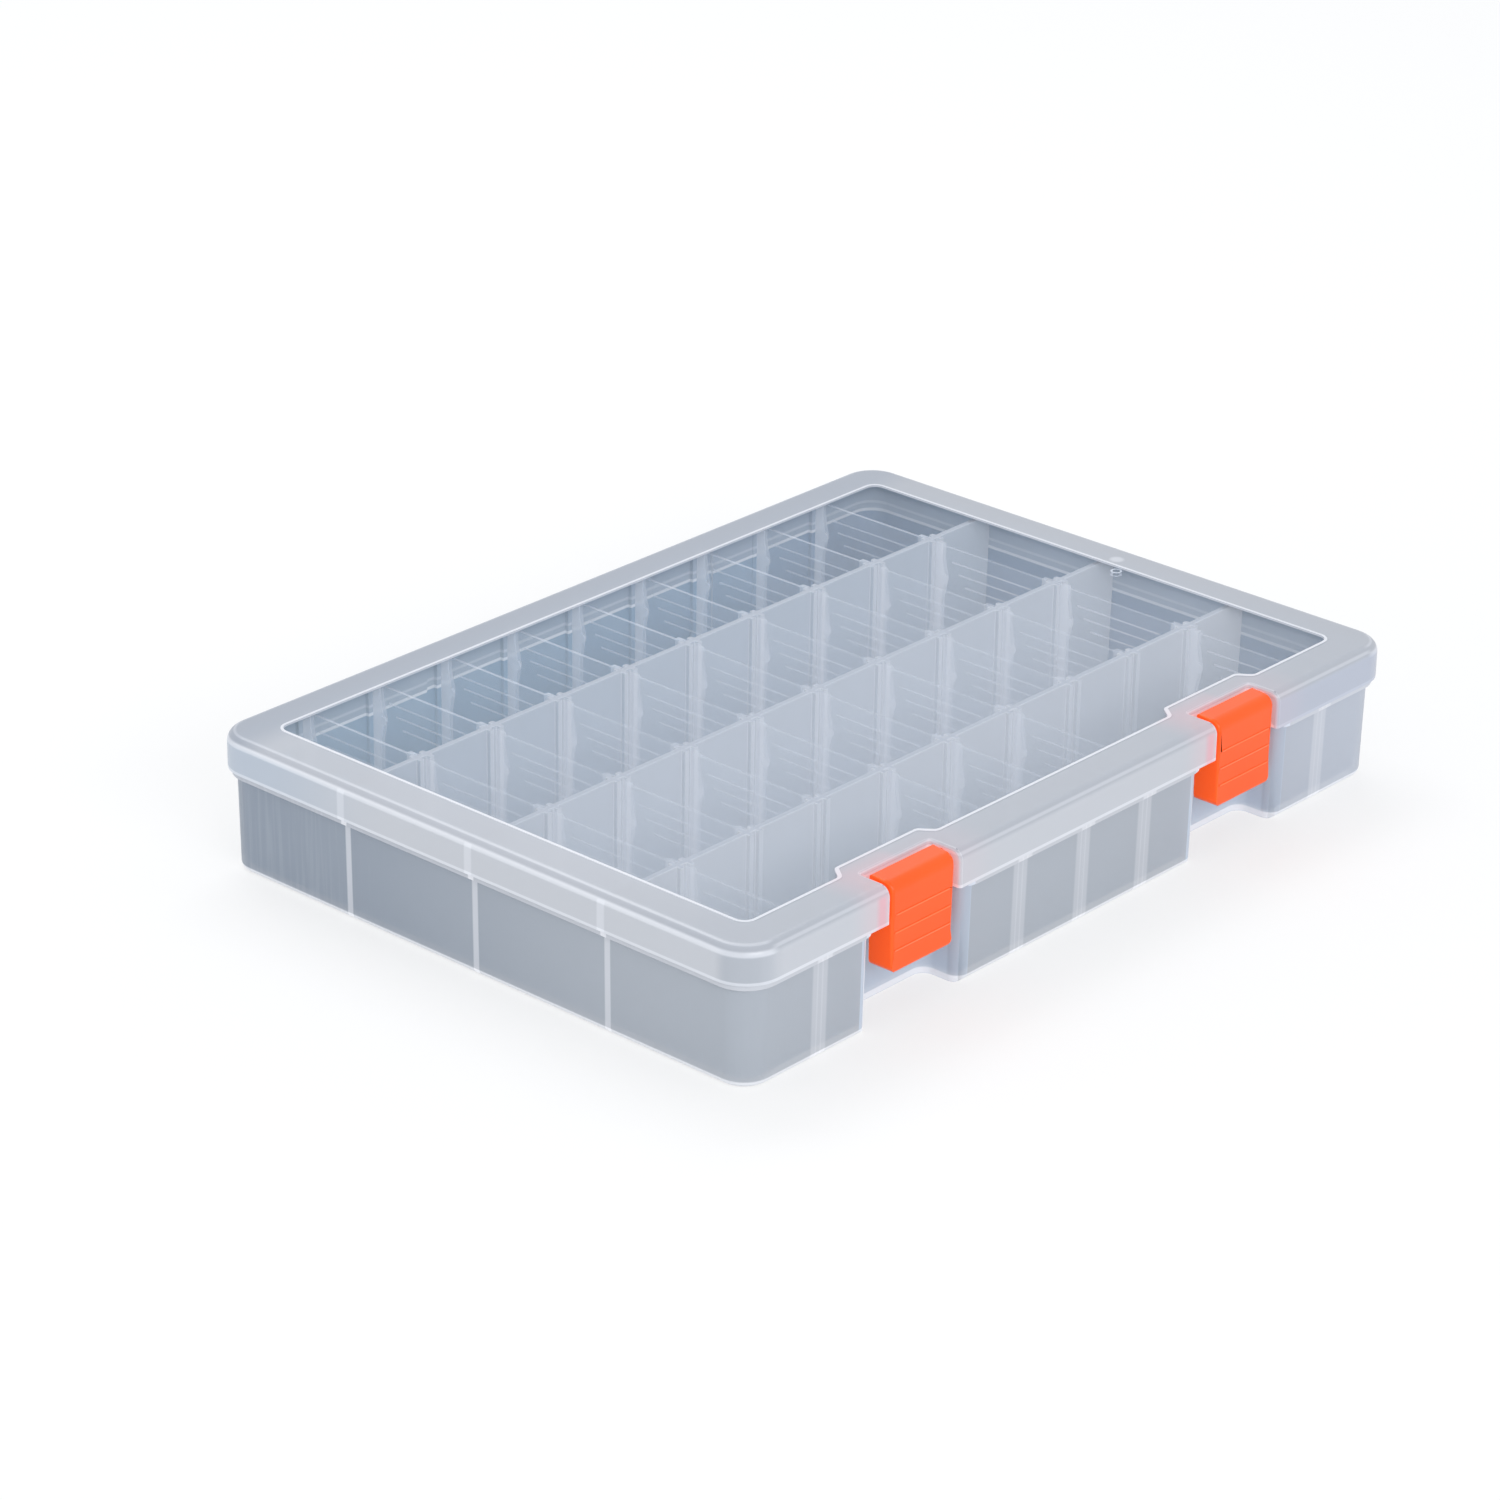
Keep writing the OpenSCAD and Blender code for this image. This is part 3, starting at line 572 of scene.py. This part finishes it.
polished = Finish("lid_pane_plastic")
waves = polished.noise(18, 2)
mark_x = polished.x - pane_mark_x
mark_y = polished.y - pane_mark_y
from_mark = (mark_x * mark_x + mark_y * mark_y).math("SQRT")
ring = polished.band(from_mark, 1.3, 0.2, 0.2)
polished.set(Base_Color=colour(205, 212, 224), Roughness=0.12 + waves * 0.08, IOR=1.5,
             Alpha=0.1 + polished.step(polished.y, 60, -60) * 0.06 + ring * 0.6,
             Normal=polished.bump(waves, 0.1, 0.2 * MM))
lid.data.materials.clear()
lid.data.materials.append(satin.material)
lid.data.materials.append(polished.material)
for face in lid.data.polygons:
    height = face.center.z / MM
    top_of_pane = face.normal.z > 0.9 and height < rim_top - 0.2
    under = face.normal.z < -0.9 and rim_top - 2.5 < height
    face.material_index = 1 if top_of_pane or under else 0

# Latches
# Two opaque orange clips with rounded outer edges and three raised grip lines, each turning
# on moulded pins in the lid.
orange = Finish("latch_orange_plastic")
latch_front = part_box("latch_left")[0].y / MM
line_mask = orange.step(orange.y, latch_front + 0.12, latch_front + 0.04)
flow = orange.noise(60, 3)
grain = orange.noise(3000, 1)
tint = orange.blend(flow, colour(255, 84, 14), colour(255, 92, 22))
# Painted highlight on the front faces of the grip lines
tint = orange.blend(line_mask * 0.45, tint, colour(255, 140, 90))
# Painted light on both sides of each latch
latch_top, narrowing = 37.85, 0.0192
from_middle = abs(abs(orange.x) - latch_x) + (latch_top - orange.z) * narrowing
cheek = orange.step(from_middle, 10.9, 11.3)
cheek_light = orange.blend(cheek, (0, 0, 0, 1), (0.24, 0.03, 0.005, 1))
orange.set(Base_Color=tint, Roughness=0.3 + grain * 0.1, IOR=1.5, Specular_IOR_Level=0.35,
           Emission_Color=cheek_light, Emission_Strength=1,
           Normal=orange.bump(grain, 0.1, 0.03 * MM))


def round_outside(edge):
    """Whether an edge runs between a latch's outer side and its front or top."""
    side_on = [abs(face.normal.x) > 0.9 for face in edge.link_faces]
    middle = (edge.verts[0].co + edge.verts[1].co) / 2 / MM
    at_side = abs(abs(middle.x) - latch_x) > 10.3
    above_lower_corners = middle.z > 15.6
    return (sum(side_on) == 1 and edge.is_convex and at_side and middle.y < -83
            and above_lower_corners)


for side in ("left", "right"):
    node = "latch_" + side
    clip = new_piece("clip_" + side, solid_form(node), node, "latch_plastic", node)
    soften_edges(clip, 0.8, segments=4, chosen=round_outside)
    clip.data.materials.clear()
    clip.data.materials.append(orange.material)

# Studio
# A plain white floor and sky with three soft lamps. The camera sees both whiter than they
# light the box, as on a white product photograph with a faint shadow.
floor_mesh = bpy.data.meshes.new("floor")
floor_mesh.from_pydata([(-3, -3, 0), (3, -3, 0), (3, 3, 0), (-3, 3, 0)], [], [(0, 1, 2, 3)])
floor = bpy.data.objects.new("floor", floor_mesh)
bpy.context.scene.collection.objects.link(floor)
paper = Finish("floor_paper")
paper.set(Base_Color=(0.86, 0.86, 0.86, 1), Roughness=0.9)
rays = paper.node("ShaderNodeLightPath").outputs
seen = (Shade(paper, rays["Is Camera Ray"]) + Shade(paper, rays["Is Glossy Ray"])
        + Shade(paper, rays["Is Transmission Ray"])).math("MINIMUM", 1.0)
plain_white = paper.node("ShaderNodeEmission", {}, {0: (1, 1, 1, 1), 1: 1.0})
mixed = paper.node("ShaderNodeMixShader", {}, {
    0: seen * 0.62, 1: paper.shader.outputs[0], 2: plain_white.outputs[0]})
paper.tree.links.new(mixed.outputs[0], paper.tree.nodes["Material Output"].inputs[0])
floor_mesh.materials.append(paper.material)

studio = bpy.data.worlds.new("studio")
bpy.context.scene.world = studio
studio.use_nodes = True
air = studio.node_tree
backdrop = air.nodes["Background"]
backdrop.inputs[0].default_value = (1, 1, 1, 1)
backdrop.inputs[1].default_value = 1.0
dim = air.nodes.new("ShaderNodeBackground")
dim.inputs[0].default_value = (0.93, 0.96, 1.0, 1)
dim.inputs[1].default_value = 0.82
path = air.nodes.new("ShaderNodeLightPath")
choose = air.nodes.new("ShaderNodeMixShader")
looked_at = air.nodes.new("ShaderNodeMath")
looked_at.operation = "MAXIMUM"
mirrored = air.nodes.new("ShaderNodeMath")
mirrored.operation = "MAXIMUM"
air.links.new(path.outputs["Is Camera Ray"], looked_at.inputs[0])
air.links.new(path.outputs["Is Glossy Ray"], mirrored.inputs[0])
air.links.new(path.outputs["Is Transmission Ray"], mirrored.inputs[1])
air.links.new(mirrored.outputs[0], looked_at.inputs[1])
air.links.new(looked_at.outputs[0], choose.inputs[0])
air.links.new(dim.outputs[0], choose.inputs[1])
air.links.new(backdrop.outputs[0], choose.inputs[2])
air.links.new(choose.outputs[0], air.nodes["World Output"].inputs[0])

for name, place, size, power in (
        ("overhead", (0.35, 0.6, 1.1), (1.1, 0.4), 5),
        ("rear_left_strip", (-1.05, 0.8, 0.3), (1.2, 0.12), 3),
        ("front_fill", (-0.5, -1.3, 0.7), (1.0, 0.5), 9)):
    lamp_data = bpy.data.lights.new(name, "AREA")
    lamp_data.shape = "RECTANGLE"
    lamp_data.size, lamp_data.size_y = size
    lamp_data.energy = power
    lamp = bpy.data.objects.new(name, lamp_data)
    stand_at = Vector(place)
    facing = stand_at.to_track_quat("Z", "Y").to_matrix().to_4x4()
    lamp.matrix_world = Matrix.Translation(stand_at) @ facing
    bpy.context.scene.collection.objects.link(lamp)
bpy.context.scene.view_settings.view_transform = "Standard"
